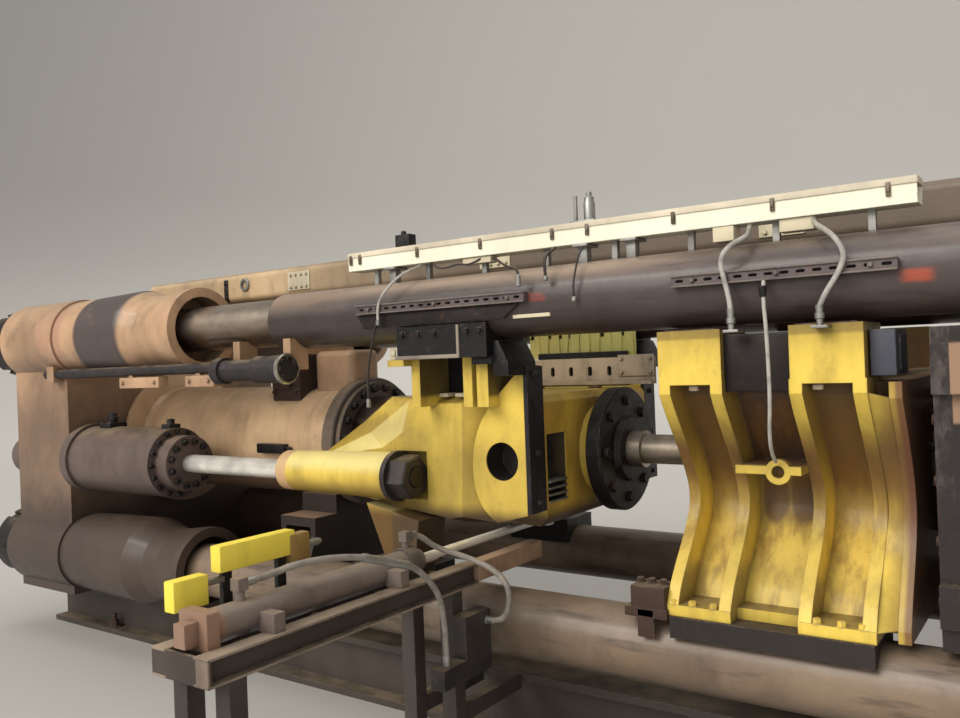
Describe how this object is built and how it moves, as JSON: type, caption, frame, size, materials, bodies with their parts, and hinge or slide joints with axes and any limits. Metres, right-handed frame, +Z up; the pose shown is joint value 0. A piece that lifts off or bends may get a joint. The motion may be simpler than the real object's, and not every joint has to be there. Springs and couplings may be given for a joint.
{
  "type": "extrusion press",
  "caption": "Horizontal hydraulic extrusion press with tie rods, sliding crosshead with stem, container housing, platens and a cross transfer cylinder.",
  "frame": {"origin": "centre of the foundation bolt pattern at floor level, below the press axis", "axes": "+X along the press towards the die end, +Y away from the operator side, +Z up"},
  "size_m": [11.05, 5.04, 3.505],
  "materials": {
    "tan_paint": "worn tan gloss paint",
    "yellow_paint": "worn yellow gloss paint",
    "dark_steel": "black oiled steel",
    "bare_steel": "turned steel with a grease film",
    "chrome_rod": "polished rod",
    "sleeve_paint": "dark greasy grey brown",
    "cream_paint": "cream paint",
    "bed_paint": "dark grimy paint",
    "grey_paint": "grey brown paint"
  },
  "bodies": {
    "frame": {"bed_beams": "bed_paint", "bed_cross_members": "bed_paint", "cylinder_gland": "dark_steel", "cylinder_saddle": "bed_paint", "die_frame": "bed_paint", "die_slide": "dark_steel", "front_nuts": "dark_steel", "front_platen": "tan_paint", "header_beam": "cream_paint", "hose_manifold": "dark_steel", "loader_cylinder": "grey_paint", "loader_hoses": "dark_steel", "loader_posts": "grey_paint", "loader_table": "grey_paint", "lower_sleeves": "sleeve_paint", "main_cylinder": "tan_paint", "pilot_clips": "tan_paint", "pilot_cylinder": "dark_steel", "prefill_valve": "tan_paint", "rear_nuts": "dark_steel", "rear_platen": "tan_paint", "side_cylinders": "bed_paint", "strut_rails": "dark_steel", "switch_guards": "yellow_paint", "tie_rods": "bare_steel", "upper_sleeves": "sleeve_paint", "valve_manifold": "bed_paint", "wireway": "cream_paint", "wireway_legs": "dark_steel"},
    "crosshead_body": {"crosshead": "yellow_paint", "cheek_plates": "dark_steel", "upper_shoes": "dark_steel", "lower_shoes": "dark_steel", "main_ram": "bare_steel", "side_rods": "chrome_rod", "side_rod_nuts": "dark_steel", "stem_disc": "dark_steel", "stem": "bare_steel", "slotted_bar": "cream_paint"},
    "container_body": {"container_housing": "yellow_paint", "container_liner": "bare_steel", "container_shoes": "dark_steel"},
    "loader_head": {"loader_rod": "chrome_rod"}
  },
  "joints": [
    {"name": "crosshead_slide", "type": "slide", "parent": "frame", "child": "crosshead_body", "axis": [1, 0, 0], "range_m": [-0.7, 0.45]},
    {"name": "container_slide", "type": "slide", "parent": "frame", "child": "container_body", "axis": [1, 0, 0], "range_m": [-0.15, 0.05]},
    {"name": "loader_slide", "type": "slide", "parent": "frame", "child": "loader_head", "axis": [0, 1, 0], "range_m": [-0.3, 0.5]}
  ]
}
